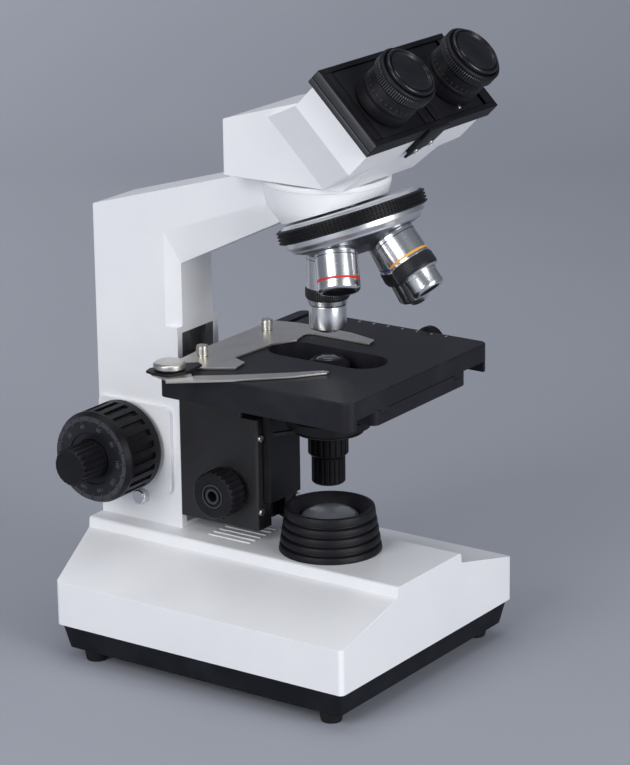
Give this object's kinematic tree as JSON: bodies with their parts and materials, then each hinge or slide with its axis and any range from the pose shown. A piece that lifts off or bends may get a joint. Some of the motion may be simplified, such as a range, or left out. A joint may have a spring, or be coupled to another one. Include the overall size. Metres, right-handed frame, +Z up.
{
  "type": "compound_microscope",
  "caption": "Binocular bench microscope: white stand, black mechanical stage, turning nosepiece with objectives, inclined binocular head with capped eyetubes",
  "frame": {"origin": "centre of the overall box in X and Y, on the plane that the feet stand on", "axes": "+Z up; -Y towards the user, where the eyetubes lean; +X to the user's right"},
  "size_m": [0.189, 0.2412, 0.3663],
  "materials": {
    "white_paint": "smooth white enamel",
    "black_plastic": "fine matt black moulding",
    "foot_rubber": "plain black rubber",
    "black_metal": "satin black anodised metal",
    "crinkle_black": "black crinkle paint",
    "steel": "turned steel",
    "bright": "bright chrome",
    "satin_nickel": "satin nickel plate",
    "brass_part": "turned brass",
    "alloy": "machined alloy",
    "optic": "polished coated glass",
    "white_plastic": "white moulding"
  },
  "bodies": {
    "stand": {"base_housing": "white_paint", "base_tray": "black_plastic", "feet": "foot_rubber", "collector_collar": "black_metal", "collector_lens": "optic", "lamp_module": "alloy", "power_inlet": "black_plastic", "arm": "white_paint", "slide_gibs": "steel", "focus_bushes": "brass_part", "nose_pin": "steel", "mount_ring": "black_metal"},
    "switch": {"power_rocker": "black_plastic"},
    "dimmer": {"dimmer_knob": "black_plastic"},
    "tension": {"tension_screw": "steel"},
    "coarse": {"focus_pinion": "steel", "coarse_knob_left": "black_plastic", "coarse_knob_right": "black_plastic"},
    "fine": {"fine_knob_left": "black_plastic", "fine_knob_right": "black_plastic"},
    "stage_carrier": {"focus_slide": "alloy", "focus_rack": "brass_part", "stage_bracket": "crinkle_black", "bracket_screws": "black_metal", "stage_base": "black_metal", "stage_rack": "brass_part"},
    "condenser_drive": {"condenser_pinion": "steel", "condenser_knob": "black_plastic"},
    "condenser_unit": {"condenser_carrier": "black_metal", "condenser_rack": "brass_part", "condenser": "black_metal", "condenser_lens": "optic"},
    "iris": {"iris_ring": "black_metal"},
    "stage_top": {"stage_plate": "black_metal"},
    "y_drive": {"y_pinion": "steel", "y_knob": "black_plastic"},
    "x_drive": {"x_knob": "black_plastic"},
    "stage_clamp": {"stage_lock": "black_plastic"},
    "holder": {"holder_carriage": "steel", "slide_holder": "satin_nickel", "thumb_screws": "satin_nickel", "pivot_cap": "satin_nickel"},
    "holder_finger": {"finger": "satin_nickel", "lever_plate": "black_metal"},
    "turret": {"nosepiece": "bright", "nosepiece_grip": "black_plastic", "objective_100x": "bright", "objective_4x": "bright", "objective_10x": "bright", "objective_40x": "bright"},
    "head": {"head_housing": "white_paint", "slide_frame": "black_metal"},
    "tube_left": {"eyetube_left": "black_metal", "eyetube_collar_left": "black_metal", "dust_cap_left": "black_plastic"},
    "tube_right": {"eyetube_right": "black_metal", "eyetube_collar_right": "black_metal", "dust_cap_right": "black_plastic"},
    "dioptre_left": {"dioptre_ring_left": "black_metal"},
    "dioptre_right": {"dioptre_ring_right": "black_metal"}
  },
  "joints": [
    {"name": "stage_focus", "type": "slide", "parent": "stand", "child": "stage_carrier", "axis": [0, 0, 1], "range_m": [-0.007, 0.013]},
    {"name": "coarse_focus", "type": "hinge", "parent": "stand", "child": "coarse", "pos_m": [-0.0025, 0.09363, 0.1135], "axis": [1, 0, 0], "range_deg": [-126, 68]},
    {"name": "fine_focus", "type": "hinge", "parent": "stand", "child": "fine", "pos_m": [-0.0025, 0.09363, 0.1135], "axis": [1, 0, 0], "range_deg": [-180, 180]},
    {"name": "tension_turn", "type": "hinge", "parent": "stand", "child": "tension", "pos_m": [-0.022, 0.08563, 0.0822], "axis": [-1, 0, 0], "range_deg": [-30, 30]},
    {"name": "condenser_height", "type": "slide", "parent": "stage_carrier", "child": "condenser_unit", "axis": [0, 0, 1], "range_m": [-0.015, 0]},
    {"name": "condenser_focus", "type": "hinge", "parent": "stage_carrier", "child": "condenser_drive", "pos_m": [-0.0025, 0.02263, 0.098], "axis": [1, 0, 0], "range_deg": [-2, 145]},
    {"name": "iris_turn", "type": "hinge", "parent": "condenser_unit", "child": "iris", "pos_m": [-0.0025, -0.03337, 0.1396], "axis": [0, 0, 1], "range_deg": [-20, 90]},
    {"name": "stage_y", "type": "slide", "parent": "stage_carrier", "child": "stage_top", "axis": [0, 1, 0], "range_m": [-0.025, 0.022]},
    {"name": "y_turn", "type": "hinge", "parent": "stage_top", "child": "y_drive", "pos_m": [0.0575, 0.00863, 0.11], "axis": [0, 0, 1], "range_deg": [-181, 159]},
    {"name": "x_turn", "type": "hinge", "parent": "stage_top", "child": "x_drive", "pos_m": [0.0575, 0.00863, 0.09], "axis": [0, 0, 1], "range_deg": [-326, 326]},
    {"name": "stage_x", "type": "slide", "parent": "stage_top", "child": "holder", "axis": [1, 0, 0], "range_m": [-0.034, 0.034]},
    {"name": "stage_clamp_turn", "type": "hinge", "parent": "stage_top", "child": "stage_clamp", "pos_m": [0.0675, -0.05337, 0.1745], "axis": [1, 0, 0], "range_deg": [-40, 40]},
    {"name": "finger_swing", "type": "hinge", "parent": "holder", "child": "holder_finger", "pos_m": [-0.0815, 0.01763, 0.1839], "axis": [0, 0, 1], "range_deg": [-35, 5], "stiffness_Nm_per_rad": 0.05, "springref_deg": 5.16},
    {"name": "nosepiece_turn", "type": "hinge", "parent": "stand", "child": "turret", "pos_m": [-0.0025, -0.04997, 0.2632], "axis": [0, 0.342, 0.9397], "continuous": true},
    {"name": "head_turn", "type": "hinge", "parent": "stand", "child": "head", "pos_m": [-0.0025, -0.03337, 0.286], "axis": [0, 0, 1], "continuous": true},
    {"name": "left_tube_slide", "type": "slide", "parent": "head", "child": "tube_left", "axis": [-1, 0, 0], "range_m": [-0.0045, 0.0055]},
    {"name": "right_tube_slide", "type": "slide", "parent": "head", "child": "tube_right", "axis": [1, 0, 0], "range_m": [-0.0045, 0.0055]},
    {"name": "left_dioptre_turn", "type": "hinge", "parent": "tube_left", "child": "dioptre_left", "pos_m": [-0.0345, -0.09793, 0.34363], "axis": [0, -0.7071, 0.7071], "range_deg": [-120, 120]},
    {"name": "right_dioptre_turn", "type": "hinge", "parent": "tube_right", "child": "dioptre_right", "pos_m": [0.0295, -0.09793, 0.34363], "axis": [0, -0.7071, 0.7071], "range_deg": [-120, 120]},
    {"name": "dimmer_turn", "type": "hinge", "parent": "stand", "child": "dimmer", "pos_m": [0.0855, -0.05537, 0.035], "axis": [1, 0, 0], "range_deg": [0, 270]},
    {"name": "switch_rock", "type": "hinge", "parent": "stand", "child": "switch", "pos_m": [0.0135, 0.11563, 0.0435], "axis": [1, 0, 0], "range_deg": [-11, 0]}
  ],
  "couplings": [
    {"joint": "coarse_focus", "follows": "stage_focus", "rad_per_m": -166.67},
    {"joint": "condenser_focus", "follows": "condenser_height", "rad_per_m": -166.67},
    {"joint": "y_turn", "follows": "stage_y", "rad_per_m": 125},
    {"joint": "x_turn", "follows": "stage_x", "rad_per_m": -166.67},
    {"joint": "right_tube_slide", "follows": "left_tube_slide", "ratio": 1}
  ]
}
